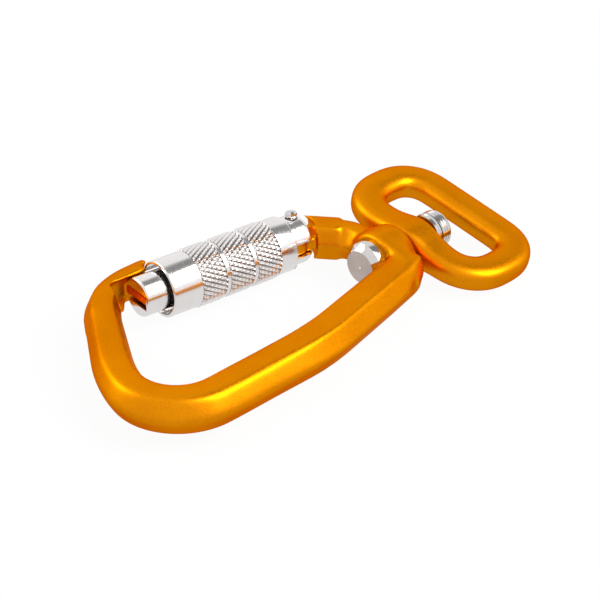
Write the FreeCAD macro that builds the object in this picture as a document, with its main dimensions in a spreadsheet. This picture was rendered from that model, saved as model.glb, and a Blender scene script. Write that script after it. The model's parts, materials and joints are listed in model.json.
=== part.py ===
import FreeCAD, Part
import math
import os
import Sketcher
from FreeCAD import Placement, Rotation, Vector

# Swivel hook with a twist-lock gate. Millimetres and degrees.
# X is the load line, from the hook towards the eye. The hook lies flat in XY with its gate on the +Y side.
# The origin is the centre of the eye's opening. Hook pieces are drawn about the swivel point, where the
# load line leaves the boss, and gate pieces about the hinge rivet, with X along the gate to its nose.

doc = FreeCAD.newDocument("SwivelHook")
sheet = doc.addObject("Spreadsheet::Sheet", "Size")

SIZES = [
    # hook bar: a six-sided forged section with draft, swept along its centre line, slimmer at the nose
    ("barWidth", 12.2), ("barThickness", 9.5), ("barFace", 6.5), ("faceRound", 1.2), ("ridgeRound", 0.9),
    ("noseWidth", 8.1), ("noseFace", 4.2),
    # centre line of the hook, from the swivel point
    ("spineStart", 72.0), ("spineOffset", 17.6), ("basketReach", 93.3), ("basketBend", 12.5),
    ("limbReach", 85.5), ("limbOffset", 5.1), ("limbBend", 48.0),
    ("noseReach", 67.7), ("noseOffset", 32.2), ("noseBend", 17.7), ("noseEnd", 55.7),
    ("spineBendReach", 44.9), ("spineBend", 70.0), ("spineEnd", 4.6), ("spineEndOffset", 8.8),
    # swivel boss
    ("bossRadius", 7.2), ("bossLength", 9.3), ("bossRound", 2.4), ("bossRim", 0.8), ("headRecess", 9.0),
    # hinge arm, from the swivel point to the hinge
    ("armWidth", 9.4), ("armReach", 5.2), ("armOffset", 11.0), ("armBend", 7.0), ("armEnd", 14.0),
    ("armEndOffset", 22.5),
    # hinge rivet's place from the swivel point, and the gate's slope against the load line
    ("hingeReach", 15.6), ("hingeOffset", 21.2), ("gateSlope", 7.3),
    # hinge tongue, its cam and its heel
    ("tongueThickness", 3.5), ("tongueRadius", 4.4), ("camRadius", 3.95), ("camThrow", 1.6), ("camAngle", 235.0),
    ("heelReach", 3.4), ("heelDrop", 5.9), ("heelAngle", 250.3), ("tongueAngle", 38.8), ("rootLength", 9.0),
    # nose tongue, and the step that leads down to it
    ("noseTongue", 2.8), ("noseTongueTip", 35.2), ("noseTongueEnd", 44.7), ("noseTongueWidth", 3.5),
    ("noseStep", 6.0), ("noseStepStart", 39.6), ("noseStepSide", 6.9),
    # gate bar
    ("gateRadius", 6.22), ("shankRadius", 4.6), ("gateNoseRadius", 4.85), ("gateNoseRound", 0.7),
    ("gateNoseStart", 33.8), ("gateEnd", 45.2), ("shoulderEnd", 9.0), ("earLength", 2.8), ("earRound", 1.6),
    ("earSlot", 3.8), ("earSlotDepth", 5.9), ("noseSlot", 3.9), ("noseSlotStart", 34.6), ("noseWall", 1.0),
    # locking sleeve
    ("sleeveStart", 3.0), ("sleeveEnd", 39.0), ("sleeveBore", 6.3), ("sleeveRadius", 7.0), ("knurlRadius", 7.3),
    ("plainBand", 8.0), ("ringGroove", 1.1), ("noseNotch", 4.4), ("noseNotchStart", 34.2), ("sleeveEdge", 0.3),
    # hinge rivet
    ("rivetRadius", 1.55), ("rivetHeight", 8.1), ("rivetChamfer", 0.5),
    # gate plunger and its spring
    ("plungerRadius", 1.6), ("plungerLength", 7.0), ("springBore", 1.7), ("springBoreEnd", 22.0),
    ("gateSpringWire", 0.45), ("gateSpringRadius", 1.15), ("gateSpringTurns", 7.0),
    # torsion spring and the guide ring that holds its end
    ("torsionWire", 0.9), ("torsionRadius", 5.45), ("torsionTurns", 6.0), ("guideWidth", 2.6),
    # swivel pin, its bush and washers
    ("pinRadius", 3.6), ("pinEnd", 15.5), ("headRadius", 5.6), ("headFace", 4.2), ("headChamfer", 1.7),
    ("headLength", 3.6), ("bushWall", 1.0), ("washerThickness", 0.5), ("washerRadius", 5.4),
    # stack inside the eye
    ("flatWasherRadius", 5.3), ("flatWasherThickness", 0.9), ("ridgeWasherRadius", 5.0),
    ("ridgeWasherThickness", 1.0), ("collarRadius", 5.15), ("collarLength", 4.2), ("collarRound", 1.1),
    ("collarGroove", 0.35),
    # eye
    ("eyeBar", 8.9), ("eyeThickness", 6.6), ("eyeFace", 4.7), ("eyeRound", 1.5), ("eyeOpening", 12.0),
    ("eyeWidth", 40.5), ("eyeNearBend", 8.75), ("eyeFarBend", 8.1), ("eyeBossRadius", 5.6), ("eyeBossRound", 1.5),
    ("eyeTilt", 11.0),
    # clearances: a press, a running fit, a sliding bore, faces that nearly touch, and parts that pass
    ("press", 0.02), ("fit", 0.05), ("slideGap", 0.08), ("faceGap", 0.05), ("gap", 0.3),
]

for row, (alias, value) in enumerate(SIZES, start=1):
    sheet.set("A%d" % row, alias)
    sheet.set("B%d" % row, str(value))
    sheet.setAlias("B%d" % row, alias)
doc.recompute()

NAMES = sorted((alias for alias, value in SIZES), key=len, reverse=True)


def cell(text):
    # an expression in the sheet's names, as another object of the document writes it
    for number, alias in enumerate(NAMES):
        text = text.replace(alias, "{%d}" % number)
    for number, alias in enumerate(NAMES):
        text = text.replace("{%d}" % number, "Size." + alias)
    return text


def size(text):
    # the value of such an expression
    return float(sheet.evalExpression(cell(text)))


# ---- sketches and features ----

def newBody(label):
    body = doc.addObject("PartDesign::Body", label)
    body.Label = label
    return body


def newSketch(body, name, plane, offset="0"):
    # a sketch on one of the body's own planes, lifted along the plane's normal
    sketch = body.newObject("Sketcher::SketchObject", name)
    support = next(item for item in body.Origin.OriginFeatures if item.Role == plane)
    sketch.AttachmentSupport = [(support, "")]
    sketch.MapMode = "FlatFace"
    sketch.setExpression("AttachmentOffset.Base.z", cell(offset))
    return sketch


def drive(sketch, kind, ids, text):
    # a driving dimension, bound to the sheet
    index = sketch.addConstraint(Sketcher.Constraint(kind, *ids, size(text)))
    sketch.setExpression("Constraints[%d]" % index, cell(text))


def drawOutline(sketch, corners, closed=True):
    # straight runs between corners (x, y) or (x, y, radius), each corner bound to the sheet
    points = [Vector(size(corner[0]), size(corner[1]), 0) for corner in corners]
    count = len(points)
    bends = {}
    for index, corner in enumerate(corners):
        if len(corner) == 3:
            bends[index] = Bend(points[index - 1], points[index], points[(index + 1) % count], size(corner[2]))
    runs = []
    for index in range(count if closed else count - 1):
        following = (index + 1) % count
        start = bends[index].leave if index in bends else points[index]
        end = bends[following].enter if following in bends else points[following]
        runs.append(sketch.addGeometry(Part.LineSegment(start, end), False))
    for index, corner in enumerate(corners):
        before = runs[index - 1] if closed or index > 0 else None
        after = runs[index] if index < len(runs) else None
        if index in bends:
            joinBend(sketch, before, after, bends[index], points[index], corner)
            continue
        if before is not None and after is not None:
            sketch.addConstraint(Sketcher.Constraint("Coincident", before, 2, after, 1))
        end = (after, 1) if after is not None else (before, 2)
        drive(sketch, "DistanceX", (-1, 1) + end, corner[0])
        drive(sketch, "DistanceY", (-1, 1) + end, corner[1])


class Bend:
    # the arc that rounds a corner: where it enters and leaves, and which way it turns
    def __init__(self, before, point, after, radius):
        backward = (before - point).normalize()
        forward = (after - point).normalize()
        half = backward.getAngle(forward) / 2
        middle = (backward + forward).normalize()
        centre = point + middle * (radius / math.sin(half))
        self.enter = point + backward * (radius / math.tan(half))
        self.leave = point + forward * (radius / math.tan(half))
        self.left = backward.cross(forward).z < 0
        start, end = (self.enter, self.leave) if self.left else (self.leave, self.enter)
        first = math.atan2(start.y - centre.y, start.x - centre.x)
        last = math.atan2(end.y - centre.y, end.x - centre.x)
        circle = Part.Circle(centre, Vector(0, 0, 1), radius)
        self.arc = Part.ArcOfCircle(circle, first, last if last > first else last + 2 * math.pi)


def joinBend(sketch, before, after, bend, point, corner):
    # the arc stays tangent to both runs, and the corner point where they would meet stays bound to the sheet
    arc = sketch.addGeometry(bend.arc, False)
    first, last = (1, 2) if bend.left else (2, 1)
    sketch.addConstraint(Sketcher.Constraint("Tangent", before, 2, arc, first))
    sketch.addConstraint(Sketcher.Constraint("Tangent", after, 1, arc, last))
    mark = sketch.addGeometry(Part.Point(point), True)
    sketch.addConstraint(Sketcher.Constraint("PointOnObject", mark, 1, before))
    sketch.addConstraint(Sketcher.Constraint("PointOnObject", mark, 1, after))
    drive(sketch, "Radius", (arc,), corner[2])
    drive(sketch, "DistanceX", (-1, 1, mark, 1), corner[0])
    drive(sketch, "DistanceY", (-1, 1, mark, 1), corner[1])


def drawCircle(sketch, radius, x="0", y="0"):
    centre = Vector(size(x), size(y), 0)
    ring = sketch.addGeometry(Part.Circle(centre, Vector(0, 0, 1), size(radius)), False)
    drive(sketch, "DistanceX", (-1, 1, ring, 3), x)
    drive(sketch, "DistanceY", (-1, 1, ring, 3), y)
    drive(sketch, "Radius", (ring,), radius)


def drawBox(sketch, left, low, right, high):
    drawOutline(sketch, [(left, low), (right, low), (right, high), (left, high)])


def pad(body, sketch, length, symmetric=False, backwards=False):
    feature = body.newObject("PartDesign::Pad", sketch.Name + "Pad")
    feature.Profile = sketch
    feature.SideType = "Symmetric" if symmetric else "One side"
    feature.Reversed = backwards
    feature.setExpression("Length", cell(length))
    sketch.Visibility = False
    return feature


def pocket(body, sketch, length=None, backwards=False):
    # without a length the pocket goes right through, both ways
    feature = body.newObject("PartDesign::Pocket", sketch.Name + "Pocket")
    feature.Profile = sketch
    feature.Reversed = backwards
    if length is None:
        feature.Type = "ThroughAll"
        feature.SideType = "Symmetric"
    else:
        feature.setExpression("Length", cell(length))
    return feature


def spin(body, sketch):
    # a revolved piece, about the body's own X axis
    feature = body.newObject("PartDesign::Revolution", sketch.Name + "Turn")
    feature.Profile = sketch
    feature.ReferenceAxis = (sketch, ["H_Axis"])
    feature.Angle = 360
    return feature


def pipe(body, section, path, endSection=None):
    # an end section makes the pipe taper from one to the other
    feature = body.newObject("PartDesign::AdditivePipe", path.Name + "Pipe")
    feature.Profile = section
    feature.Spine = (path, ["Edge%d" % (index + 1) for index in range(len(path.Shape.Edges))])
    if endSection:
        feature.Sections = [endSection]
        feature.Transformation = "Multisection"
    return feature


def drawForgedSection(sketch, x, width, thickness, face, faceRound, ridgeRound):
    # flat top and bottom, and two drafted sides that meet in a ridge on the parting plane
    half = "(%s) / 2" % width
    flat = "(%s) / 2" % face
    top = "(%s) / 2" % thickness
    drawOutline(sketch, [
        ("%s + %s" % (x, half), "0", ridgeRound),
        ("%s + %s" % (x, flat), top, faceRound),
        ("%s - %s" % (x, flat), top, faceRound),
        ("%s - %s" % (x, half), "0", ridgeRound),
        ("%s - %s" % (x, flat), "-" + top, faceRound),
        ("%s + %s" % (x, flat), "-" + top, faceRound),
    ])


# ---- where each group of pieces stands ----

EYE_REACH = "(eyeOpening / 2 + eyeBar + washerThickness + 2 * faceGap)"


def atSwivel(body, tilted=False):
    body.Placement = Placement(Vector(), Rotation(Vector(1, 0, 0), 1))
    body.setExpression("Placement.Base.x", cell("-" + EYE_REACH))
    body.setExpression("Placement.Rotation.Angle", cell("eyeTilt * 1 deg" if tilted else "0 deg"))


def atHinge(body):
    body.Placement = Placement(Vector(), Rotation(Vector(0, 0, 1), 1))
    body.setExpression("Placement.Base.x", cell("-" + EYE_REACH + " - hingeReach"))
    body.setExpression("Placement.Base.y", cell("hingeOffset"))
    body.setExpression("Placement.Rotation.Angle", cell("(180 - gateSlope) * 1 deg"))


def alongGate(along, across):
    # a point given along the gate and outwards across it, from the hinge, in the hook's own frame
    slope = "(gateSlope * 1 deg)"
    x = "-hingeReach - (%s) * cos(%s) + (%s) * sin(%s)" % (along, slope, across, slope)
    y = "hingeOffset + (%s) * sin(%s) + (%s) * cos(%s)" % (along, slope, across, slope)
    return x, y


# ---- hook ----

def makeHookBody():
    hook = newBody("hook_body")
    addHookBar(hook)
    addHingeArm(hook)
    addSwivelBoss(hook)
    addHingeTongue(hook)
    addNoseTongue(hook)
    bore = newSketch(hook, "rivetBore", "XY_Plane")
    drawCircle(bore, "rivetRadius + fit", "-hingeReach", "hingeOffset")
    pocket(hook, bore)
    atSwivel(hook)
    return hook


def addHookBar(hook):
    section = newSketch(hook, "barSection", "YZ_Plane", "-spineStart")
    drawForgedSection(section, "-spineOffset", "barWidth", "barThickness", "barFace", "faceRound", "ridgeRound")
    # the bar has turned right round by the nose, so its section is drawn the other way round there
    nose = newSketch(hook, "noseSection", "YZ_Plane", "-noseEnd")
    drawForgedSection(nose, "noseOffset", "-noseWidth", "barThickness", "-noseFace", "faceRound", "ridgeRound")
    basket = newSketch(hook, "basketLine", "XY_Plane")
    drawOutline(basket, [
        ("-spineStart", "-spineOffset"),
        ("-basketReach", "-spineOffset", "basketBend"),
        ("-limbReach", "limbOffset", "limbBend"),
        ("-noseReach", "noseOffset", "noseBend"),
        ("-noseEnd", "noseOffset"),
    ], closed=False)
    spine = newSketch(hook, "spineLine", "XY_Plane")
    drawOutline(spine, [
        ("-spineStart", "-spineOffset"),
        ("-spineBendReach", "-spineOffset", "spineBend"),
        ("-spineEnd", "-spineEndOffset"),
    ], closed=False)
    doc.recompute()
    pipe(hook, section, basket, nose)
    doc.recompute()
    pipe(hook, section, spine)


def addHingeArm(hook):
    section = newSketch(hook, "armSection", "XZ_Plane")
    face = "armWidth - barWidth + barFace"
    drawForgedSection(section, "-armReach", "armWidth", "barThickness", face, "faceRound", "ridgeRound")
    arm = newSketch(hook, "armLine", "XY_Plane")
    drawOutline(arm, [
        ("-armReach", "0"),
        ("-armReach", "armOffset", "armBend"),
        ("-armEnd", "armEndOffset"),
    ], closed=False)
    doc.recompute()
    pipe(hook, section, arm)


def addSwivelBoss(hook):
    boss = newSketch(hook, "bossProfile", "XY_Plane")
    drawOutline(boss, [
        ("-bossLength", "0"),
        ("-bossLength", "bossRadius", "bossRim"),
        ("0", "bossRadius", "bossRound"),
        ("0", "0"),
    ])
    spin(hook, boss)
    recess = newSketch(hook, "headRecessCircle", "YZ_Plane", "-bossLength")
    drawCircle(recess, "headRadius + gap")
    pocket(hook, recess, "headRecess")
    bore = newSketch(hook, "bushBore", "YZ_Plane")
    drawCircle(bore, "pinRadius + fit + bushWall + press")
    pocket(hook, bore, "bossLength")


def addHingeTongue(hook):
    # a ball-shaped hollow clears the gate's ears and the sleeve's rim as the gate swings
    hollow = hook.newObject("PartDesign::SubtractiveSphere", "earHollow")
    hollow.setExpression("Radius", cell("sleeveRadius + 2 * gap"))
    hollow.setExpression("Placement.Base.x", cell("-hingeReach"))
    hollow.setExpression("Placement.Base.y", cell("hingeOffset"))
    disc = newSketch(hook, "tongueDisc", "XY_Plane")
    drawCircle(disc, "tongueRadius", "-hingeReach", "hingeOffset")
    pad(hook, disc, "tongueThickness", symmetric=True)
    # the cam lies off the rivet, so that the plunger is pushed in as the gate opens
    cam = newSketch(hook, "tongueCam", "XY_Plane")
    camX = "-hingeReach + camThrow * cos(camAngle * 1 deg)"
    camY = "hingeOffset + camThrow * sin(camAngle * 1 deg)"
    drawCircle(cam, "camRadius", camX, camY)
    pad(hook, cam, "tongueThickness", symmetric=True)
    web = newSketch(hook, "tongueWeb", "XY_Plane")
    heel = "(heelAngle * 1 deg)"
    side = "(tongueAngle * 1 deg)"
    drawOutline(web, [
        ("-hingeReach + tongueRadius * cos(%s)" % heel, "hingeOffset + tongueRadius * sin(%s)" % heel),
        ("-hingeReach + heelReach", "hingeOffset - heelDrop"),
        ("-hingeReach + heelReach + rootLength * sin(%s)" % side, "hingeOffset - heelDrop"),
        ("-hingeReach + tongueRadius * cos(%s) + rootLength * sin(%s)" % (side, side),
         "hingeOffset + tongueRadius * sin(%s) - rootLength * cos(%s)" % (side, side)),
        ("-hingeReach + tongueRadius * cos(%s)" % side, "hingeOffset + tongueRadius * sin(%s)" % side),
    ])
    pad(hook, web, "tongueThickness", symmetric=True)


def addNoseTongue(hook):
    step = newSketch(hook, "noseStepOutline", "XY_Plane")
    drawOutline(step, [
        alongGate("noseStepStart", "0"),
        alongGate("noseStepStart", "noseStepSide"),
        alongGate("gateEnd", "noseStepSide"),
        alongGate("gateEnd", "0"),
    ])
    pad(hook, step, "noseStep", symmetric=True)
    # the gate's nose beds in a flat-ended hollow of the hook's nose
    hollow = hook.newObject("PartDesign::SubtractiveCylinder", "noseHollow")
    startX, startY = alongGate("noseTongueTip", "0")
    hollow.setExpression("Radius", cell("gateNoseRadius + gap"))
    hollow.setExpression("Height", cell("gateEnd + 2 * gap - noseTongueTip"))
    hollow.setExpression("Placement.Base.x", cell(startX))
    hollow.setExpression("Placement.Base.y", cell(startY))
    slope = math.radians(size("gateSlope"))
    aim = Rotation(Vector(0, 0, 1), Vector(-math.cos(slope), math.sin(slope), 0))
    hollow.Placement = Placement(hollow.Placement.Base, aim)
    tongue = newSketch(hook, "noseTongueOutline", "XY_Plane")
    drawOutline(tongue, [
        alongGate("noseTongueTip", "-noseTongueWidth"),
        alongGate("noseTongueTip", "gateNoseRadius"),
        alongGate("noseStepStart", "gateNoseRadius + 2 * gap"),
        alongGate("noseTongueEnd", "gateNoseRadius + 2 * gap"),
        alongGate("noseTongueEnd", "-noseTongueWidth"),
    ])
    pad(hook, tongue, "noseTongue", symmetric=True)


# ---- gate ----

def makeGate():
    gate = newBody("gate")
    profile = newSketch(gate, "gateProfile", "XY_Plane")
    drawOutline(profile, [
        ("-earLength", "0"),
        ("-earLength", "gateRadius", "earRound"),
        ("shoulderEnd", "gateRadius"),
        ("shoulderEnd", "shankRadius"),
        ("gateNoseStart", "shankRadius"),
        ("gateNoseStart", "gateNoseRadius"),
        ("gateEnd", "gateNoseRadius", "gateNoseRound"),
        ("gateEnd", "0"),
    ])
    spin(gate, profile)
    ears = newSketch(gate, "earSlotOutline", "XZ_Plane")
    drawBox(ears, "-earLength - gap", "-earSlot / 2", "earSlotDepth", "earSlot / 2")
    pocket(gate, ears)
    # the nose slot is open at the end and on the outer side only
    nose = newSketch(gate, "noseSlotOutline", "XY_Plane")
    drawBox(nose, "noseSlotStart", "-gateNoseRadius - gap", "gateEnd + gap", "gateNoseRadius - noseWall")
    slot = pocket(gate, nose, "noseSlot")
    slot.SideType = "Symmetric"
    rivet = newSketch(gate, "rivetHole", "XY_Plane")
    drawCircle(rivet, "rivetRadius + press")
    pocket(gate, rivet)
    bore = newSketch(gate, "springHole", "YZ_Plane", "earSlotDepth")
    drawCircle(bore, "springBore")
    pocket(gate, bore, "springBoreEnd - earSlotDepth", backwards=True)
    atHinge(gate)
    return gate


def makeHingeRivet():
    rivet = newBody("hinge_rivet")
    shank = newSketch(rivet, "rivetShank", "XY_Plane")
    drawCircle(shank, "rivetRadius")
    body = pad(rivet, shank, "2 * rivetHeight", symmetric=True)
    doc.recompute()
    rims = [name for name in edgeNames(body) if isFlatRing(body, name)]
    chamfer = rivet.newObject("PartDesign::Chamfer", "rivetHeads")
    chamfer.Base = (body, rims)
    chamfer.setExpression("Size", cell("rivetChamfer"))
    atHinge(rivet)
    return rivet


def edgeNames(feature):
    return ["Edge%d" % (index + 1) for index in range(len(feature.Shape.Edges))]


def isFlatRing(feature, name):
    edge = feature.Shape.getElement(name)
    return edge.isClosed() and edge.BoundBox.ZLength < 1e-6


def makePlunger():
    plunger = newBody("gate_plunger")
    profile = newSketch(plunger, "plungerProfile", "XY_Plane")
    # the domed tip stands just off the cam while the gate is shut
    start = plungerTip()
    drawOutline(profile, [
        (start, "0"),
        (start, "plungerRadius", "plungerRadius * 0.98"),
        (start + " + plungerLength", "plungerRadius"),
        (start + " + plungerLength", "0"),
    ])
    spin(plunger, profile)
    atHinge(plunger)
    return plunger


def plungerTip():
    # where a ball of the plunger's radius rests against the cam, from the rivet
    turn = "((camAngle + gateSlope - 180) * 1 deg)"
    reach = "sqrt((camRadius + plungerRadius)^2 - (camThrow * sin(%s))^2)" % turn
    return "camThrow * cos(%s) + %s - plungerRadius + slideGap" % (turn, reach)


def coil(radius, wire, turns, length):
    # an open coil of round wire, standing on the origin
    pitch = (length - wire) / turns
    line = Part.makeHelix(pitch, length - wire, radius)
    section = Part.Wire(Part.makeCircle(wire / 2, Vector(radius, 0, 0), Vector(0, 1, 0)))
    return Part.Wire(line).makePipeShell([section], True, True)


def makeSpring(label, start, end, radius, wire, turns):
    spring = doc.addObject("Part::Feature", label)
    spring.Label = label
    length = size(end) - size(start)
    spring.Shape = coil(size(radius), size(wire), size(turns), length)
    hinge = Vector(size("-" + EYE_REACH + " - hingeReach"), size("hingeOffset"), 0)
    gateFrame = Placement(hinge, Rotation(Vector(0, 0, 1), 180 - size("gateSlope")))
    # laid along the gate, half a wire in from its start
    lying = Placement(Vector(size(start) + size(wire) / 2, 0, 0), Rotation(Vector(0, 1, 0), 90))
    spring.Placement = gateFrame.multiply(lying)
    return spring


def makeGateSpring():
    start = plungerTip() + " + plungerLength + faceGap"
    return makeSpring("gate_spring", start, "springBoreEnd - faceGap",
                      "gateSpringRadius", "gateSpringWire", "gateSpringTurns")


def makeSleeveSpring():
    return makeSpring("sleeve_spring", "shoulderEnd + gap", "gateNoseStart - guideWidth - gap",
                      "torsionRadius", "torsionWire", "torsionTurns")


def makeSleeveGuide():
    guide = newBody("sleeve_guide")
    profile = newSketch(guide, "guideProfile", "XY_Plane")
    drawBox(profile, "gateNoseStart - guideWidth", "shankRadius + press", "gateNoseStart - press", "gateRadius")
    spin(guide, profile)
    atHinge(guide)
    return guide


# ---- locking sleeve ----

def makeSleeve():
    sleeve = newBody("locking_sleeve")
    band = "((sleeveEnd - 2 * plainBand - 2 * ringGroove) / 3)"
    profile = newSketch(sleeve, "sleeveProfile", "XY_Plane")
    corners = [("sleeveStart", "sleeveBore"), ("sleeveStart", "sleeveRadius", "sleeveEdge")]
    start = "plainBand"
    for number in range(3):
        end = "%s + %s" % (start, band)
        corners += [(start, "sleeveRadius"), (start, "knurlRadius"), (end, "knurlRadius"), (end, "sleeveRadius")]
        start = end + " + ringGroove"
    corners += [("sleeveEnd", "sleeveRadius", "sleeveEdge"), ("sleeveEnd", "sleeveBore")]
    drawOutline(profile, corners)
    spin(sleeve, profile)
    # the notch lets the hook's nose tongue out when the gate opens
    notch = newSketch(sleeve, "noseNotchOutline", "XZ_Plane")
    drawBox(notch, "noseNotchStart", "-noseNotch / 2", "sleeveEnd + gap", "noseNotch / 2")
    pocket(sleeve, notch, "knurlRadius + gap", backwards=True)
    atHinge(sleeve)
    return sleeve


# ---- swivel ----

def makeRing(label, start, end, bore, radius, tilted=True, edge=None):
    ring = newBody(label)
    profile = newSketch(ring, label + "Profile", "XY_Plane")
    outer = [(start, radius), (end, radius)]
    if edge:
        outer = [(start, radius, edge), (end, radius, edge)]
    drawOutline(profile, [(start, bore)] + outer + [(end, bore)])
    spin(ring, profile)
    atSwivel(ring, tilted)
    return ring


def makeSwivelPin():
    pin = newBody("swivel_pin")
    profile = newSketch(pin, "pinProfile", "XY_Plane")
    back = "-bossLength - washerThickness - 2 * faceGap"
    face = back + " - headLength"
    drawOutline(profile, [
        (face, "0"),
        (face, "headFace"),
        (face + " + headChamfer", "headRadius"),
        (back, "headRadius"),
        (back, "pinRadius"),
        ("pinEnd", "pinRadius"),
        ("pinEnd", "0"),
    ])
    spin(pin, profile)
    atSwivel(pin, tilted=True)
    return pin


def makeSwivelRings():
    bushOut = "pinRadius + fit + bushWall"
    shaft = "pinRadius + press"
    eyeFace = "washerThickness + 2 * faceGap + eyeBar"
    flat = eyeFace + " + faceGap"
    ridge = flat + " + flatWasherThickness + faceGap"
    collar = ridge + " + ridgeWasherThickness + faceGap"
    makeRing("swivel_bush", "-bossLength", "0", "pinRadius + fit", bushOut, tilted=False)
    makeRing("head_washer", "-bossLength - faceGap - washerThickness", "-bossLength - faceGap",
             "pinRadius + fit", "washerRadius")
    makeRing("thrust_washer", "faceGap", "faceGap + washerThickness", "pinRadius + fit", "washerRadius")
    makeRing("flat_washer", flat, flat + " + flatWasherThickness", shaft, "flatWasherRadius",
             edge="flatWasherThickness / 3")
    makeRing("ridge_washer", ridge, ridge + " + ridgeWasherThickness", shaft, "ridgeWasherRadius",
             edge="ridgeWasherThickness / 3")
    makeCollar(collar, shaft)


def makeCollar(start, bore):
    collar = newBody("rivet_collar")
    profile = newSketch(collar, "collarProfile", "XY_Plane")
    end = start + " + collarLength"
    groove = start + " + collarLength / 3"
    drawOutline(profile, [
        (start, bore),
        (start, "collarRadius"),
        (groove, "collarRadius"),
        (groove + " + collarGroove", "collarRadius - collarGroove"),
        (groove + " + 2 * collarGroove", "collarRadius"),
        (end, "collarRadius", "collarRound"),
        (end, bore),
    ])
    spin(collar, profile)
    atSwivel(collar, tilted=True)


def makeEye():
    eye = newBody("swivel_eye")
    near = "-(eyeOpening + eyeBar) / 2"
    far = "(eyeOpening + eyeBar) / 2"
    section = newSketch(eye, "eyeSection", "XZ_Plane")
    drawForgedSection(section, far, "eyeBar", "eyeThickness", "eyeFace", "eyeRound", "eyeRound")
    half = newSketch(eye, "eyeLine", "XY_Plane")
    drawOutline(half, [
        (far, "0"),
        (far, "eyeWidth / 2", "eyeFarBend"),
        (near, "eyeWidth / 2", "eyeNearBend"),
        (near, "0"),
    ], closed=False)
    doc.recompute()
    arm = pipe(eye, section, half)
    doc.recompute()
    both = eye.newObject("PartDesign::Mirrored", "eyeBothSides")
    both.Originals = [arm]
    both.MirrorPlane = (next(item for item in eye.Origin.OriginFeatures if item.Role == "XZ_Plane"), [""])
    eye.Tip = both
    # a rounded boss round the swivel pin
    boss = newSketch(eye, "eyeBossProfile", "XY_Plane")
    outer = "-eyeOpening / 2 - eyeBar"
    drawOutline(boss, [
        (outer, "0"),
        (outer, "eyeBossRadius", "eyeBossRound"),
        ("-eyeOpening / 2", "eyeBossRadius", "eyeBossRound"),
        ("-eyeOpening / 2", "0"),
    ])
    spin(eye, boss)
    bore = newSketch(eye, "eyeBore", "YZ_Plane")
    drawCircle(bore, "pinRadius + press")
    pocket(eye, bore, "eyeOpening / 2 + eyeBar")
    eye.Placement = Placement(Vector(), Rotation(Vector(1, 0, 0), 1))
    eye.setExpression("Placement.Rotation.Angle", cell("eyeTilt * 1 deg"))
    return eye


# ---- build, check and write ----

makeHookBody()
makeGate()
makeHingeRivet()
makePlunger()
makeGateSpring()
makeSleeve()
makeSleeveSpring()
makeSleeveGuide()
makeEye()
makeSwivelPin()
makeSwivelRings()
doc.recompute()

pieces = [item for item in doc.Objects if item.TypeId in ("PartDesign::Body", "Part::Feature")]
for item in doc.Objects:
    if "Invalid" in item.State or "Error" in item.State:
        raise RuntimeError("failed feature: %s %s" % (item.Name, item.State))
for piece in pieces:
    if piece.Shape.isNull() or not piece.Shape.isValid():
        raise RuntimeError("bad shape: " + piece.Label)

os.makedirs("parts", exist_ok=True)
for piece in pieces:
    piece.Shape.exportStep(os.path.join("parts", piece.Label + ".step"))
    print("%-16s %9.1f mm3  %d solid" % (piece.Label, piece.Shape.Volume, len(piece.Shape.Solids)))
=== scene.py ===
import json
import math

import bmesh
import bpy
import numpy as np
from mathutils import Matrix, Vector


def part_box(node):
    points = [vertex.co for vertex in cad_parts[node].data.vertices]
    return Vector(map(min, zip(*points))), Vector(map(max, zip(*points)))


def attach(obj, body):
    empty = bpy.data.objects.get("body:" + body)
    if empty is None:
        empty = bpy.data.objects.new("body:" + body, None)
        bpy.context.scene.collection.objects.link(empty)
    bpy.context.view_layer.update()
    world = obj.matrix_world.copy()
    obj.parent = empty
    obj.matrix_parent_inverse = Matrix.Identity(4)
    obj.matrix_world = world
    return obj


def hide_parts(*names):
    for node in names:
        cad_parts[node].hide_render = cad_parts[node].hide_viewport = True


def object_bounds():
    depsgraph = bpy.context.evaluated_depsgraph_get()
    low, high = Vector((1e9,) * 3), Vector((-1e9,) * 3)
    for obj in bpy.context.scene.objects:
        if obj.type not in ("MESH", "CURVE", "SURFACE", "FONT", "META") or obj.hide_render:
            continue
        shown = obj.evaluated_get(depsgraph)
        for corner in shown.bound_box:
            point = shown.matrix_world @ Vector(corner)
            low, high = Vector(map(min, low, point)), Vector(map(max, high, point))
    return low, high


# Swivel hook: orange anodised forging, knurled twist-lock sleeve and bright hardware.
# Metres, in the part's own frame. X is the load line, Z is up, the gate is on the +Y side.

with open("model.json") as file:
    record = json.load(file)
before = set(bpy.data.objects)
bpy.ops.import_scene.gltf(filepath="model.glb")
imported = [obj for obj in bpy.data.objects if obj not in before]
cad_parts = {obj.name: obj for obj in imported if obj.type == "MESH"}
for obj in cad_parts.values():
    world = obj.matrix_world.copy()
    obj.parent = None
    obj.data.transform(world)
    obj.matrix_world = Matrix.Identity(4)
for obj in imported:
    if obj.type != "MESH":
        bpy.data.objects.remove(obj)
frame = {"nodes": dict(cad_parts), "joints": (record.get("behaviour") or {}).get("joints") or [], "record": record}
sizeAtLoad = [list(corner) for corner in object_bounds()]
joints = {joint["name"]: joint for joint in frame["joints"]}
mm = 0.001
print("frame loaded:", len(frame["nodes"]), "nodes")


# materials: a slow drift of tone, a fine grain, and a bump that goes with the grain
def noise(tree, where, scale, detail=2.0):
    texture = tree.nodes.new("ShaderNodeTexNoise")
    texture.inputs["Scale"].default_value = scale
    texture.inputs["Detail"].default_value = detail
    tree.links.new(where, texture.inputs["Vector"])
    return texture.outputs["Fac"]


def ramp(tree, value, low, high, start=0.3, end=0.7):
    stops = tree.nodes.new("ShaderNodeValToRGB")
    stops.color_ramp.elements[0].position = start
    stops.color_ramp.elements[0].color = (*low, 1)
    stops.color_ramp.elements[1].position = end
    stops.color_ramp.elements[1].color = (*high, 1)
    tree.links.new(value, stops.inputs["Fac"])
    return stops.outputs["Color"]


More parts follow.
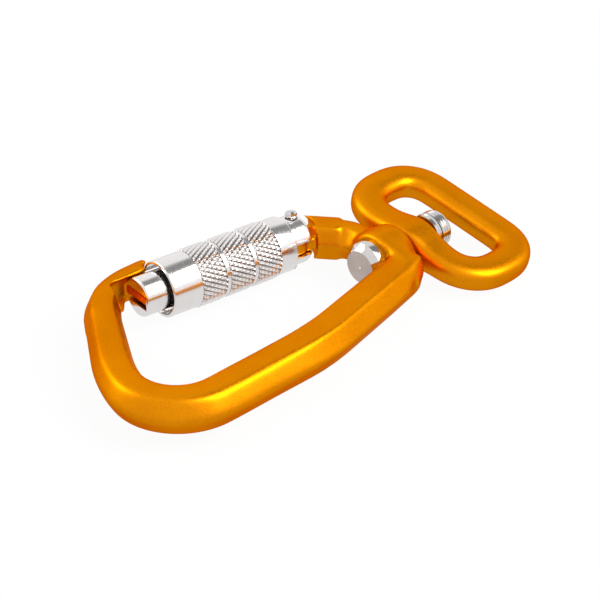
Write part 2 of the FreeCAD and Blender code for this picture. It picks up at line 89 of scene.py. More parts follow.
def spread(tree, value, low, high, start=0.3, end=0.7, interpolation="LINEAR"):
    scaled = tree.nodes.new("ShaderNodeMapRange")
    scaled.interpolation_type = interpolation
    scaled.inputs["From Min"].default_value = start
    scaled.inputs["From Max"].default_value = end
    scaled.inputs["To Min"].default_value = low
    scaled.inputs["To Max"].default_value = high
    tree.links.new(value, scaled.inputs["Value"])
    return scaled.outputs["Result"]


def newMetal(name, look):
    material = bpy.data.materials.new(name)
    material.use_nodes = True
    tree = material.node_tree
    shader = tree.nodes["Principled BSDF"]
    shader.inputs["Metallic"].default_value = look["metallic"]
    shader.inputs["Specular Tint"].default_value = (*look.get("edgeTint", (1, 1, 1)), 1)
    where = tree.nodes.new("ShaderNodeTexCoord").outputs["Object"]
    drift = noise(tree, where, look["driftScale"])
    grain = noise(tree, where, look["grainScale"], detail=3.0)
    tone = ramp(tree, drift, look["deepColour"], look["colour"])
    speck = ramp(tree, grain, (look["grainDark"],) * 3, (1, 1, 1))
    mix = tree.nodes.new("ShaderNodeMix")
    mix.data_type = "RGBA"
    mix.blend_type = "MULTIPLY"
    mix.inputs["Factor"].default_value = 1
    tree.links.new(tone, mix.inputs["A"])
    tree.links.new(speck, mix.inputs["B"])
    colour = mix.outputs["Result"]
    if "paintedValleyShade" in look:
        # painted shade in the knurl's valleys: the mesh says how deep each point lies in its "depth" attribute,
        # and deeper points take the dark valley colour
        depth = tree.nodes.new("ShaderNodeAttribute")
        depth.attribute_name = "depth"
        paintedShadeMix = tree.nodes.new("ShaderNodeMix")
        paintedShadeMix.data_type = "RGBA"
        tree.links.new(depth.outputs["Fac"], paintedShadeMix.inputs["Factor"])
        tree.links.new(colour, paintedShadeMix.inputs["A"])
        paintedShadeMix.inputs["B"].default_value = (*look["paintedValleyShade"], 1)
        colour = paintedShadeMix.outputs["Result"]
    tree.links.new(colour, shader.inputs["Base Color"])
    tree.links.new(spread(tree, grain, *look["roughness"]), shader.inputs["Roughness"])
    bump = tree.nodes.new("ShaderNodeBump")
    bump.inputs["Strength"].default_value = look["bump"]
    bump.inputs["Distance"].default_value = look["bumpDepth"]
    tree.links.new(grain, bump.inputs["Height"])
    tree.links.new(bump.outputs["Normal"], shader.inputs["Normal"])
    return material


orangeLook = {
    "colour": (0.84, 0.285, 0.003), "deepColour": (0.76, 0.245, 0.002), "metallic": 1.0,
    "edgeTint": (0.8, 0.35, 0.05),
    "driftScale": 90, "grainScale": 3000, "grainDark": 0.84, "roughness": (0.32, 0.44),
    "bump": 0.22, "bumpDepth": 0.00006,
}
alloyLook = {
    "colour": (0.88, 0.855, 0.845), "deepColour": (0.81, 0.785, 0.775), "metallic": 1.0,
    "driftScale": 160, "grainScale": 2400, "grainDark": 0.92, "roughness": (0.13, 0.22),
    "bump": 0.06, "bumpDepth": 0.00003,
}
# the knurled alloy darkens toward the bottom of its grooves: painted shade in the knurl's valleys
knurlLook = dict(alloyLook, paintedValleyShade=(0.26, 0.245, 0.235))
steelLook = {
    "colour": (0.72, 0.70, 0.69), "deepColour": (0.63, 0.61, 0.60), "metallic": 1.0,
    "driftScale": 220, "grainScale": 3000, "grainDark": 0.9, "roughness": (0.08, 0.15),
    "bump": 0.1, "bumpDepth": 0.00003,
}
springLook = {
    "colour": (0.58, 0.58, 0.6), "deepColour": (0.48, 0.48, 0.5), "metallic": 1.0,
    "driftScale": 300, "grainScale": 4000, "grainDark": 0.85, "roughness": (0.28, 0.4),
    "bump": 0.1, "bumpDepth": 0.00003,
}
bronzeLook = {
    "colour": (0.62, 0.40, 0.18), "deepColour": (0.5, 0.31, 0.13), "metallic": 1.0,
    "driftScale": 260, "grainScale": 3600, "grainDark": 0.85, "roughness": (0.3, 0.42),
    "bump": 0.12, "bumpDepth": 0.00004,
}
# the pin's end face: a darker, pinkish, rougher copy of the steel, with its darker colour as painted shade
shadedFaceLook = {
    "colour": (0.60, 0.52, 0.48), "deepColour": (0.52, 0.45, 0.41), "metallic": 1.0,
    "driftScale": 260, "grainScale": 2600, "grainDark": 0.9, "roughness": (0.38, 0.5),
    "bump": 0.1, "bumpDepth": 0.00003,
}
slotLooks = {
    "orange_anodise": newMetal("orange anodise", orangeLook),
    "polished_alloy": newMetal("polished alloy", alloyLook),
    "polished_steel": newMetal("polished steel", steelLook),
    "spring_steel": newMetal("spring wire", springLook),
    "bearing_bronze": newMetal("bearing bronze", bronzeLook),
}
for subpart in frame["record"]["subparts"]:
    node = frame["nodes"][subpart["node"]]
    node.data.materials.clear()
    node.data.materials.append(slotLooks[subpart["material_slot"]])
print("materials ready:", len(slotLooks))


# shared mesh helpers; lengths are in mm until a mesh is made
turnedSteps = 96


def newPiece(name, mesh, slotName, body, *nodes):
    piece = bpy.data.objects.new(name, mesh)
    bpy.context.scene.collection.objects.link(piece)
    mesh.materials.clear()
    mesh.materials.append(slotLooks[slotName])
    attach(piece, body)
    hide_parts(*nodes)
    return piece


def applied(mesh, addModifiers):
    # the mesh as its modifiers leave it
    holder = bpy.data.objects.new("holder", mesh)
    bpy.context.scene.collection.objects.link(holder)
    addModifiers(holder)
    bpy.context.view_layer.update()
    shaped = holder.evaluated_get(bpy.context.evaluated_depsgraph_get())
    result = bpy.data.meshes.new_from_object(shaped)
    bpy.data.objects.remove(holder)
    return result


def shadeSmooth(mesh, angle):
    mesh.polygons.foreach_set("use_smooth", [True] * len(mesh.polygons))
    mesh.set_sharp_from_angle(angle=math.radians(angle))


def lathe(name, profile, steps):
    # profile points are (along, radius) and start and end on the axis
    inner = profile[1:-1]
    points = [(profile[0][0], 0, 0)]
    for along, radius in inner:
        for step in range(steps):
            turn = 2 * math.pi * step / steps
            points.append((along, radius * math.cos(turn), radius * math.sin(turn)))
    points.append((profile[-1][0], 0, 0))
    faces = []
    last = len(points) - 1
    for step in range(steps):
        following = (step + 1) % steps
        faces.append((0, 1 + following, 1 + step))
        for ring in range(len(inner) - 1):
            near, far = 1 + ring * steps, 1 + (ring + 1) * steps
            faces.append((near + step, near + following, far + following, far + step))
        near = 1 + (len(inner) - 1) * steps
        faces.append((near + step, near + following, last))
    mesh = bpy.data.meshes.new(name)
    mesh.from_pydata([[value * mm for value in point] for point in points], [], faces)
    mesh.update()
    return mesh


def turned(name, profile):
    mesh = lathe(name, profile, turnedSteps)
    shadeSmooth(mesh, 25)
    return mesh


# the forging: fillers close the joints of the solids, then everything melts into the blends of a drop forging
# the pocket and the room are turned about the gate's line, the rest is measured from the swivel point
forging = {
    "voxel": 0.3 * mm, "crispPasses": 6, "roundPasses": 110, "roundLevels": 10,
    "heelRings": [(-0.9, 6.05), (-1.9, 6.95), (-9.3, 7.15)], "heelSteps": 24,
    "spineSection": [(-9.6, -6.6, 4.7), (-9.6, -13.0, 4.7), (-9.6, -15.8, 0.6)],
    "heelCorner": (-3.6, -12.0, 1.2),
    "endCut": [(-16, -18.0), (-3.2, -11.9), (3, -8), (3, -30), (-16, -30)], "endHeights": (-12, 12),
    "armHalfWidth": 4.7, "armFlat": 3.05, "armHalfHeight": 4.7,
    "armFrom": (-6.6, 13.0), "armTo": (-15.6, 24.6), "earClearance": 7.0,
    "noseTip": (-57.5, -51.9), "noseMiddle": 32.2,
    "noseHalfWidth": 4.0, "noseFlat": 2.1, "noseHalfHeight": 4.7,
    "noseRelief": [(-66.5, 24.0), (-59.6, 32.6), (-57.5, 32.6), (-57.5, 24.0)], "reliefHeights": (-12, -2),
    "nosePocket": [(45.0, 0), (45.0, 5.25), (50.5, 5.25), (51.5, 3.85), (51.5, 0)],
    "gateRoom": [(20, 0), (20, 7.6), (39.6, 7.6), (39.6, 5.25), (46, 5.25), (46, 0)],
}
hinge = Vector(joints["gate_open"]["pos_m"])
gateLine = -Vector(joints["sleeve_twist"]["axis"]).normalized()
gateFrame = Matrix.Translation(hinge) @ Matrix.Rotation(math.atan2(gateLine.y, gateLine.x), 4, "Z")
swivelPoint = Vector(joints["eye_swivel"]["pos_m"])
hub = Matrix.Translation(swivelPoint)


def hullMesh(name, points):
    shape = bmesh.new()
    for point in points:
        shape.verts.new([value * mm for value in point])
    made = bmesh.ops.convex_hull(shape, input=shape.verts)
    bmesh.ops.delete(shape, geom=made["geom_interior"], context="VERTS")
    bmesh.ops.recalc_face_normals(shape, faces=shape.faces)
    mesh = bpy.data.meshes.new(name)
    shape.to_mesh(mesh)
    shape.free()
    return mesh


def placed(mesh, where):
    mesh.transform(where)
    return mesh


def cutAway(mesh, *cutters):
    holders = []
    for cutter in cutters:
        holder = bpy.data.objects.new("cutter", cutter)
        bpy.context.scene.collection.objects.link(holder)
        holders.append(holder)

    def cut(holder):
        for other in holders:
            away = holder.modifiers.new("cut", "BOOLEAN")
            away.operation = "DIFFERENCE"
            away.object = other
            away.solver = "EXACT"

    result = applied(mesh, cut)
    for holder in holders:
        bpy.data.objects.remove(holder)
    return result


def together(*meshes):
    shape = bmesh.new()
    for mesh in meshes:
        shape.from_mesh(mesh)
    mesh = bpy.data.meshes.new("together")
    shape.to_mesh(mesh)
    shape.free()
    return mesh


def nodeMesh(node):
    mesh = frame["nodes"][node].data.copy()
    mesh.transform(frame["nodes"][node].matrix_world)
    return mesh


def ballMesh(radius):
    shape = bmesh.new()
    bmesh.ops.create_icosphere(shape, subdivisions=5, radius=radius * mm)
    mesh = bpy.data.meshes.new("ball")
    shape.to_mesh(mesh)
    shape.free()
    return mesh


def heelFiller(f):
    # closes the notch between the end of the spine and the swivel boss
    points = []
    for turn in range(f["heelSteps"] + 1):
        angle = math.pi * (0.5 + turn / f["heelSteps"])
        for along, radius in f["heelRings"]:
            points.append((along, radius * math.cos(angle), radius * math.sin(angle)))
    for x, y, z in f["spineSection"] + [f["heelCorner"]]:
        points += [(x, y, z), (x, y, -z)]
    return placed(hullMesh("heel", points), hub)


def prismMesh(name, outline, heights):
    return hullMesh(name, [(x, y, z) for x, y in outline for z in heights])


def armFiller(f):
    # carries the arm up to the ears of the gate
    startX, startY = f["armFrom"]
    endX, endY = f["armTo"]
    length = math.hypot(endX - startX, endY - startY)
    sideX, sideY = (endY - startY) / length, -(endX - startX) / length
    points = []
    for x, y in (f["armFrom"], f["armTo"]):
        for across, z in ((f["armHalfWidth"], 0), (f["armFlat"], f["armHalfHeight"])):
            for side in (-1, 1):
                for up in (-1, 1):
                    points.append((x + sideX * across * side, y + sideY * across * side, z * up))
    arm = placed(hullMesh("arm", points), hub)
    return cutAway(arm, placed(ballMesh(f["earClearance"]), Matrix.Translation(hinge)))


def noseFiller(f):
    # runs the outer side of the nose on beside the rim of the sleeve
    points = []
    for x in f["noseTip"]:
        for across, z in ((f["noseHalfWidth"], 0), (f["noseFlat"], f["noseHalfHeight"])):
            for side in (-1, 1):
                for up in (-1, 1):
                    points.append((x, f["noseMiddle"] + across * side, z * up))
    tip = placed(hullMesh("nose", points), hub)
    return cutAway(tip, placed(lathe("room", f["gateRoom"], turnedSteps), gateFrame))


def softForging(mesh, f, crisp):
    def even(holder):
        remesh = holder.modifiers.new("even", "REMESH")
        remesh.mode = "VOXEL"
        remesh.voxel_size = f["voxel"]
        remesh.use_smooth_shade = True

    mesh = applied(mesh, even)
    points = np.empty(len(mesh.vertices) * 3)
    mesh.vertices.foreach_get("co", points)
    weights = 1 - crisp(points.reshape(-1, 3) / mm)

    def soften(holder):
        group = holder.vertex_groups.new(name="blend")
        for level in range(1, f["roundLevels"] + 1):
            chosen = np.flatnonzero(np.round(weights * f["roundLevels"]) == level)
            group.add([int(index) for index in chosen], level / f["roundLevels"], "REPLACE")
        overall = holder.modifiers.new("overall", "SMOOTH")
        overall.factor = 0.5
        overall.iterations = f["crispPasses"]
        blend = holder.modifiers.new("blend", "SMOOTH")
        blend.factor = 0.5
        blend.iterations = f["roundPasses"]
        blend.vertex_group = "blend"

    mesh = applied(mesh, soften)
    shadeSmooth(mesh, 180)
    return mesh


# the spine keeps its flats and ridges, and the tongues and the head's recess keep their edges
# each pair is where that starts to show and the length it takes to be full
kept = {
    "spineFrom": (-78, 16), "spineTo": (-27, 7), "spineSide": (-8, 4), "spine": 0.93,
    "earReach": (7.2, 1.5), "ears": 0.9,
    "noseReach": (7.4, 1.5), "noseFrom": (30, 3), "nose": 0.7,
    "tongueHalf": 1.8, "tongueTo": 46, "tongue": 0.9,
    "recessReach": (7.2, 1.2), "recessFrom": (-37, 2), "recessTo": (-23.4, 1.5), "recess": 0.9,
    "armFrom": (-36, 3), "armSide": (6, 3), "arm": 0.6,
}


def above(values, edge):
    return np.clip((values - edge[0]) / edge[1], 0, 1)


def below(values, edge):
    return np.clip((edge[0] - values) / edge[1], 0, 1)


def crispParts(points):
    x, y, z = points.T
    away = points - np.array(hinge) / mm
    along = away @ np.array(gateLine)
    across = np.linalg.norm(away - np.outer(along, np.array(gateLine)), axis=1)
    spine = above(x, kept["spineFrom"]) * below(x, kept["spineTo"]) * below(y, kept["spineSide"])
    ears = below(np.linalg.norm(away, axis=1), kept["earReach"])
    inTongue = (np.abs(z) < kept["tongueHalf"]) & (along < kept["tongueTo"])
    nose = below(across, kept["noseReach"]) * above(along, kept["noseFrom"])
    nose *= np.where(inTongue, kept["tongue"], kept["nose"])
    recess = below(np.hypot(y, z), kept["recessReach"])
    recess *= below(x, kept["recessTo"]) * above(x, kept["recessFrom"])
    arm = above(y, kept["armSide"]) * above(x, kept["armFrom"])
    return np.maximum.reduce([
        spine * kept["spine"], ears * kept["ears"], nose, recess * kept["recess"], arm * kept["arm"]])


nosePocket = placed(lathe("pocket", forging["nosePocket"], turnedSteps), gateFrame)
endCut = placed(prismMesh("end", forging["endCut"], forging["endHeights"]), hub)
noseRelief = placed(prismMesh("relief", forging["noseRelief"], forging["reliefHeights"]), hub)
bar = cutAway(nodeMesh("hook_body"), nosePocket, endCut, noseRelief)
filled = together(bar, heelFiller(forging), armFiller(forging), noseFiller(forging))
hookMesh = softForging(filled, forging, crispParts)
newPiece("forgedHook", hookMesh, "orange_anodise", "hook", "hook_body")
print("hook softened:", len(hookMesh.polygons), "faces")


# the eye: one round-edged bar bent into a loop, with a gentle swell where the swivel pin goes through
eye = {
    "near": -10.45, "far": 10.2, "side": 19.88, "nearBend": 8.3, "farBend": 7.9, "bendSteps": 16,
    "halfWidth": 4.4, "halfHeight": 3.35, "power": 2.7, "around": 72, "spacing": 0.5, "evenPasses": 24,
    "swell": 1.65, "squarer": 3.2, "swellReach": 8.0, "swellEnd": 12.8, "tilt": 11,
    "bore": 3.64, "boreFrom": -30,
}


def loopLine(e):
    # the middle of the bar: four rounded corners, evenly spaced and then relaxed
    corners = [(e["far"], -e["side"], e["farBend"]), (e["far"], e["side"], e["farBend"]),
               (e["near"], e["side"], e["nearBend"]), (e["near"], -e["side"], e["nearBend"])]
    path = []
    for number, (x, y, bend) in enumerate(corners):
        before, after = corners[number - 1], corners[(number + 1) % 4]
        toBefore = np.array([before[0] - x, before[1] - y])
        toAfter = np.array([after[0] - x, after[1] - y])
        toBefore, toAfter = toBefore / np.linalg.norm(toBefore), toAfter / np.linalg.norm(toAfter)
        middle = np.array([x, y]) + bend * (toBefore + toAfter)
        for step in range(e["bendSteps"] + 1):
            turn = math.pi / 2 * step / e["bendSteps"]
            path.append(middle - bend * (toAfter * math.cos(turn) + toBefore * math.sin(turn)))
    path.append(path[0])
    path = np.array(path)
    reach = np.concatenate([[0], np.cumsum(np.linalg.norm(np.diff(path, axis=0), axis=1))])
    count = int(reach[-1] / e["spacing"])
    wanted = np.arange(count) * reach[-1] / count
    line = np.stack([np.interp(wanted, reach, path[:, axis]) for axis in (0, 1)], 1)
    for number in range(e["evenPasses"]):
        line = line / 2 + (np.roll(line, 1, 0) + np.roll(line, -1, 0)) / 4
    return line


def eyeLoop(e):
    line = loopLine(e)
    heading = np.roll(line, -1, 0) - np.roll(line, 1, 0)
    heading /= np.linalg.norm(heading, axis=1)[:, None]
    side = np.stack([heading[:, 1], -heading[:, 0]], 1)
    turn = 2 * np.pi * np.arange(e["around"]) / e["around"]
    points = []
    for place, toSide in zip(line, side):
        near = place[0] < 0 and abs(place[1]) < e["swellEnd"]
        share = math.exp(-(place[1] / e["swellReach"]) ** 2 * 2) if near else 0
        swell = e["swell"] * share
        power = e["power"] + e["squarer"] * share
        across = np.sign(np.cos(turn)) * np.abs(np.cos(turn)) ** (2 / power)
        up = np.sign(np.sin(turn)) * np.abs(np.sin(turn)) ** (2 / power)
        for a, u in zip(across, up):
            points.append((place[0] + toSide[0] * a * e["halfWidth"],
                           place[1] + toSide[1] * a * e["halfWidth"], u * (e["halfHeight"] + swell)))
    count, ring = e["around"], len(line)
    faces = [(r * count + c, r * count + (c + 1) % count, (r + 1) % ring * count + (c + 1) % count,
              (r + 1) % ring * count + c) for r in range(ring) for c in range(count)]
    mesh = bpy.data.meshes.new("loop")
    mesh.from_pydata([[value * mm for value in point] for point in points], [], faces)
    shape = bmesh.new()
    shape.from_mesh(mesh)
    bmesh.ops.recalc_face_normals(shape, faces=shape.faces)
    shape.to_mesh(mesh)
    shape.free()
    return mesh


boreProfile = [(eye["boreFrom"], 0), (eye["boreFrom"], eye["bore"]), (0, eye["bore"]), (0, 0)]
bore = lathe("bore", boreProfile, turnedSteps)
eyeMesh = cutAway(eyeLoop(eye), bore)
eyeMesh.transform(Matrix.Rotation(math.radians(eye["tilt"]), 4, "X"))
shadeSmooth(eyeMesh, 40)
newPiece("forgedEye", eyeMesh, "orange_anodise", "eye", "swivel_eye")
print("eye bent:", len(eyeMesh.polygons), "faces")


# the locking sleeve with its knurled bands
sleeve = {
    "start": 3.0, "end": 39.0, "bore": 6.3, "plain": 7.0, "tip": 7.3, "valley": 6.75, "plainBand": 8.0,
    "groove": 1.1, "bands": 3, "cellsAround": 34, "cellLength": 2.2, "columns": 408, "rowsPerCell": 14,
    "crestGain": 1.35, "bandEdge": 0.18, "bandGap": 0.12, "rim": 0.3, "rimTurns": (0.4, 0.8, 1.2, 1.57),
    "notchLow": (34.2, -9, -2.2), "notchHigh": (40.0, 0, 2.2),
    "boreSkin": 0.1, "cutFrom": 0.03, "cutDepth": 0.14,
}


def triangleWave(value):
    return 1 - 2 * np.abs(value - np.floor(value) - 0.5)


def sleeveMesh(s):
    band = (s["end"] - 2 * s["plainBand"] - (s["bands"] - 1) * s["groove"]) / s["bands"]
    turns = np.arange(s["columns"]) / s["columns"]
    stations = [(s["start"], s["bore"]), (s["start"], s["plain"] - s["rim"])]
    stations += [(s["start"] + s["rim"] * (1 - math.cos(a)), s["plain"] - s["rim"] * (1 - math.sin(a)))
                 for a in s["rimTurns"]]
    rings = [np.full(s["columns"], radius) for along, radius in stations]
    alongs = [along for along, radius in stations]
    first = s["plainBand"]
    for number in range(s["bands"]):
        alongs.append(first - s["bandGap"])
        rings.append(np.full(s["columns"], s["plain"]))
        rows = int(band / s["cellLength"] * s["rowsPerCell"])
        for row in range(rows + 1):
            along = first + band * row / rows
            across = (along - first) / s["cellLength"]
            around = turns * s["cellsAround"]
            height = np.minimum(triangleWave(around + across), triangleWave(around - across))
            height = np.minimum(1, s["crestGain"] * height)
            edge = min(1.0, (along - first) / s["bandEdge"], (first + band - along) / s["bandEdge"])
            alongs.append(along)
            rings.append(s["valley"] + (s["tip"] - s["valley"]) * height * edge)
        alongs.append(first + band + s["bandGap"])
        rings.append(np.full(s["columns"], s["plain"]))
        first += band + s["groove"]
    for a in (*reversed(s["rimTurns"]), 0.0):
        alongs.append(s["end"] - s["rim"] * (1 - math.cos(a)))
        rings.append(np.full(s["columns"], s["plain"] - s["rim"] * (1 - math.sin(a))))
    alongs.append(s["end"])
    rings.append(np.full(s["columns"], s["bore"]))
    angle = 2 * math.pi * turns
    points = []
    for along, radius in zip(alongs, rings):
        across, up = radius * np.cos(angle), radius * np.sin(angle)
        points.append(np.stack([np.full_like(radius, along), across, up], 1))
    points = np.concatenate(points) * mm
    count = s["columns"]
    faces = []
    for ring in range(len(alongs)):
        near, far = ring * count, ((ring + 1) % len(alongs)) * count
        for column in range(count):
            following = (column + 1) % count
            faces.append((near + column, near + following, far + following, far + column))
    mesh = bpy.data.meshes.new("sleeve")
    mesh.from_pydata(points.tolist(), [], faces)
    mesh.update()
    return mesh


def boxMesh(name, low, high):
    corners = [(x, y, z) for x in (low[0], high[0])
               for y in (low[1], high[1]) for z in (low[2], high[2])]
    faces = [(0, 1, 3, 2), (4, 6, 7, 5), (0, 4, 5, 1), (2, 3, 7, 6), (0, 2, 6, 4), (1, 5, 7, 3)]
    mesh = bpy.data.meshes.new(name)
    mesh.from_pydata([[value * mm for value in corner] for corner in corners], [], faces)
    mesh.update()
    return mesh


# the gate frame's +Y points inwards, so the notch for the nose tongue is on its -Y side
knurled = cutAway(sleeveMesh(sleeve), boxMesh("notch", sleeve["notchLow"], sleeve["notchHigh"]))
# each point's depth below the plain surface, which the knurled alloy turns into painted shade
depths = []
for vertex in knurled.vertices:
    radius = math.hypot(vertex.co.y, vertex.co.z) / mm
    along = vertex.co.x / mm
    inBand = sleeve["plainBand"] < along < sleeve["end"] - sleeve["plainBand"]
    outside = radius > sleeve["bore"] + sleeve["boreSkin"]
    depth = (sleeve["plain"] - sleeve["cutFrom"] - radius) / sleeve["cutDepth"]
    depths.append(min(1, max(0, depth)) if inBand and outside else 0)
knurled.attributes.new("depth", "FLOAT", "POINT").data.foreach_set("value", depths)
knurled.transform(gateFrame)
shadeSmooth(knurled, 32)
newPiece("knurledSleeve", knurled, "polished_alloy", "sleeve", "locking_sleeve")
knurled.materials[0] = newMetal("knurled alloy", knurlLook)
print("sleeve knurled:", len(knurled.polygons), "faces")


# the swivel pin: a turned head with a wide chamfer and a small centre mark
pin = {
    "headRadius": 5.6, "faceRadius": 4.2, "chamfer": 1.7, "headLength": 3.6, "shankRadius": 3.6,
    "edge": 0.12, "endChamfer": 0.3, "mark": [(0.28, 0), (0.26, 0.14), (0.04, 0.42), (0, 0.52)],
    "faceDepth": 0.1,
}
pinLow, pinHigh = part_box("swivel_pin")
pinFace, pinEnd = pinLow.x / mm, pinHigh.x / mm
chamferEnd = pinFace + pin["chamfer"]
headEnd = pinFace + pin["headLength"]
pinProfile = [(pinFace + inside, radius) for inside, radius in pin["mark"]]
pinProfile += [
    (pinFace, pin["faceRadius"] - pin["edge"]), (pinFace + pin["edge"] * 0.5, pin["faceRadius"]),
    (chamferEnd - pin["edge"] * 0.5, pin["headRadius"] - pin["edge"] * 0.3),
    (chamferEnd + pin["edge"], pin["headRadius"]), (headEnd - pin["edge"], pin["headRadius"]),
    (headEnd, pin["headRadius"] - pin["edge"]), (headEnd, pin["shankRadius"]),
    (pinEnd - pin["endChamfer"], pin["shankRadius"]), (pinEnd, pin["shankRadius"] - pin["endChamfer"]),
    (pinEnd, 0),
]
pinMesh = turned("pin", pinProfile)
newPiece("turnedPin", pinMesh, "polished_steel", "eye", "swivel_pin")
# the end face takes the darker copy of the steel: painted shade on the face
pinMesh.materials.append(newMetal("pin face with painted shade", shadedFaceLook))
for polygon in pinMesh.polygons:
    if polygon.center.x < (pinFace + pin["faceDepth"]) * mm:
        polygon.material_index = 1
print("pin turned")

# the hinge rivet: eight-sided, with a riveted head at each end of the shank
rivet = {
    "upper": [(5.6, 1.5), (5.7, 1.2), (6.5, 1.28), (7.1, 1.53), (7.65, 1.42), (8.1, 0.55), (8.1, 0)],
    "sides": 8,
}
lower = [(-along, radius) for along, radius in reversed(rivet["upper"])]
rivetMesh = lathe("rivet", lower + rivet["upper"], rivet["sides"])
rivetMesh.transform(Matrix.Translation(hinge) @ Matrix.Rotation(-math.pi / 2, 4, "Y"))
newPiece("headedRivet", rivetMesh, "polished_steel", "hook", "hinge_rivet")

# the washers and collar on the pin, inside the eye and against the boss
stack = {
    "thrust_washer": [("start", 0), ("start", 4.5), ("end", 4.5), ("end", 0)],
    "flat_washer": [("start", 0), ("start", 4.85), ("end", 4.85), ("end", 0)],
    "ridge_washer": [("start", 0), ("start", 4.5), ("middle", 4.95), ("end", 4.5), ("end", 0)],
}
turnedNames = {
    "thrust_washer": "turnedThrustWasher", "flat_washer": "turnedFlatWasher",
    "ridge_washer": "turnedRidgeWasher",
}
for node, outline in stack.items():
    low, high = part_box(node)
    places = {"start": low.x / mm, "middle": (low.x + high.x) / 2 / mm, "end": high.x / mm}
    ring = turned(node, [(places[place], radius) for place, radius in outline])
    newPiece(turnedNames[node], ring, "polished_steel", "eye", node)
low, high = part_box("rivet_collar")
start = low.x / mm
collar = {
    "length": 3.3, "radius": 4.85, "crown": 1.0, "crownSteps": 6,
    "groove": 0.3, "grooveHalf": 0.15, "grooveAt": (0.8, 1.6),
}
outline = [(start, 0), (start, collar["radius"])]
for place in collar["grooveAt"]:
    outline += [(start + place - collar["grooveHalf"], collar["radius"]),
                (start + place, collar["radius"] - collar["groove"]),
                (start + place + collar["grooveHalf"], collar["radius"])]
for step in range(collar["crownSteps"] + 1):
    turn = math.pi / 2 * step / collar["crownSteps"]
    outline.append((start + collar["length"] - collar["crown"] * (1 - math.sin(turn)),
                    collar["radius"] - collar["crown"] * (1 - math.cos(turn))))
outline.append((start + collar["length"], 0))
collarMesh = turned("collar", outline)
newPiece("turnedCollar", collarMesh, "polished_steel", "eye", "rivet_collar")
print("rings and rivet made")


# studio: white floor and surroundings, a soft lamp overhead and a dark flag for the metal to reflect
studio = {
    "ambient": 0.5, "floorGlow": 0.95, "floorMirrored": 0.86, "flagDirection": (0.51, -0.1, 0.854),
    "flagEdge": (0.87, 0.97), "flagLevel": 0.28, "floorDrop": 0.05, "floorReach": 3.0,
    "floorRoughness": 0.9, "floorGrain": 40, "floorTones": (0.88, 0.92),
}


def added(tree, first, second):
    total = tree.nodes.new("ShaderNodeMath")
    total.operation = "ADD"
    tree.links.new(first, total.inputs[0])
    tree.links.new(second, total.inputs[1])
    return total


def seenRays(tree):
    # rays that show a surface, and those of them that come straight from the camera
    path = tree.nodes.new("ShaderNodeLightPath")
    direct = added(tree, path.outputs["Is Camera Ray"], path.outputs["Is Glossy Ray"])
    every = added(tree, direct.outputs[0], path.outputs["Is Transmission Ray"])
    every.use_clamp = True
    return every.outputs[0], path.outputs["Is Camera Ray"]


def whiteBackground(tree, strength=1.0):
    background = tree.nodes.new("ShaderNodeBackground")
    background.inputs["Color"].default_value = (1, 1, 1, 1)
    background.inputs["Strength"].default_value = strength
    return background


def mixed(tree, share, first, second):
    mix = tree.nodes.new("ShaderNodeMixShader")
    tree.links.new(share, mix.inputs["Fac"])
    tree.links.new(first.outputs[0], mix.inputs[1])
    tree.links.new(second.outputs[0], mix.inputs[2])
    return mix


world = bpy.data.worlds.new("studio")
bpy.context.scene.world = world
world.use_nodes = True
tree = world.node_tree
tree.nodes.clear()
direction = tree.nodes.new("ShaderNodeTexCoord").outputs["Generated"]
toFlag = tree.nodes.new("ShaderNodeVectorMath")
toFlag.operation = "DOT_PRODUCT"
toFlag.inputs[1].default_value = studio["flagDirection"]
tree.links.new(direction, toFlag.inputs[0])
flag = spread(tree, toFlag.outputs["Value"], 1, studio["flagLevel"], *studio["flagEdge"], "SMOOTHSTEP")
seen, seenByCamera = seenRays(tree)
around = whiteBackground(tree)
tree.links.new(flag, around.inputs["Strength"])
lit = mixed(tree, seen, whiteBackground(tree, studio["ambient"]), around)
final = mixed(tree, seenByCamera, lit, whiteBackground(tree))
output = tree.nodes.new("ShaderNodeOutputWorld")
tree.links.new(final.outputs[0], output.inputs["Surface"])

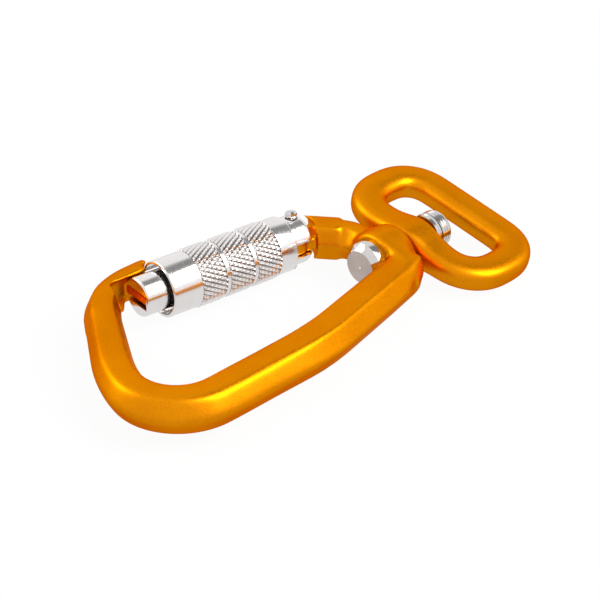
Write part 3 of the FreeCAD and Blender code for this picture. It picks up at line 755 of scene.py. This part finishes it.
floorMesh = bpy.data.meshes.new("floor")
floorLevel = sizeAtLoad[0][2] - studio["floorDrop"] * mm
reach = studio["floorReach"]
floorMesh.from_pydata([(-reach, -reach, floorLevel), (reach, -reach, floorLevel),
                       (reach, reach, floorLevel), (-reach, reach, floorLevel)], [], [(0, 1, 2, 3)])
floor = bpy.data.objects.new("floor", floorMesh)
bpy.context.scene.collection.objects.link(floor)
paper = bpy.data.materials.new("paper")
paper.use_nodes = True
tree = paper.node_tree
sheet = tree.nodes["Principled BSDF"]
sheet.inputs["Roughness"].default_value = studio["floorRoughness"]
where = tree.nodes.new("ShaderNodeTexCoord").outputs["Object"]
tones = [(tone,) * 3 for tone in studio["floorTones"]]
tree.links.new(ramp(tree, noise(tree, where, studio["floorGrain"]), *tones), sheet.inputs["Base Color"])
glow = tree.nodes.new("ShaderNodeEmission")
seen, seenByCamera = seenRays(tree)
tree.links.new(spread(tree, seenByCamera, studio["floorMirrored"], 1, 0, 1), glow.inputs["Strength"])
share = tree.nodes.new("ShaderNodeMath")
share.operation = "MULTIPLY"
share.inputs[1].default_value = studio["floorGlow"]
tree.links.new(seen, share.inputs[0])
surface = mixed(tree, share.outputs[0], sheet, glow)
tree.links.new(surface.outputs[0], tree.nodes["Material Output"].inputs["Surface"])
floorMesh.materials.append(paper)

middle = Vector((-0.0498, -0.0006, 0))  # what the lamps and the camera face
lamps = [
    {"name": "overhead", "from": (0.3, -0.62, 0.72), "away": 0.6, "size": 0.42, "watts": 3.6},
    {"name": "behind", "from": (-0.5, 0.8, 0.5), "away": 0.7, "size": 0.4, "watts": 1.4},
]
for lamp in lamps:
    data = bpy.data.lights.new(lamp["name"], "AREA")
    data.size = lamp["size"]
    data.energy = lamp["watts"]
    light = bpy.data.objects.new(lamp["name"], data)
    toward = Vector(lamp["from"]).normalized()
    light.location = middle + toward * lamp["away"]
    light.rotation_euler = toward.to_track_quat("Z", "Y").to_euler()
    bpy.context.scene.collection.objects.link(light)

view = {"position": (-0.3104, -0.2612, 0.2215), "lens": 111.0, "sensor": 36, "clipStart": 0.01}
cameraData = bpy.data.cameras.new("camera")
cameraData.lens = view["lens"]
cameraData.sensor_width = view["sensor"]
cameraData.clip_start = view["clipStart"]
camera = bpy.data.objects.new("camera", cameraData)
camera.location = view["position"]
camera.rotation_euler = (Vector(view["position"]) - middle).to_track_quat("Z", "Y").to_euler()
bpy.context.scene.collection.objects.link(camera)
bpy.context.scene.camera = camera
bpy.context.scene.view_settings.view_transform = "Standard"
print("studio ready")
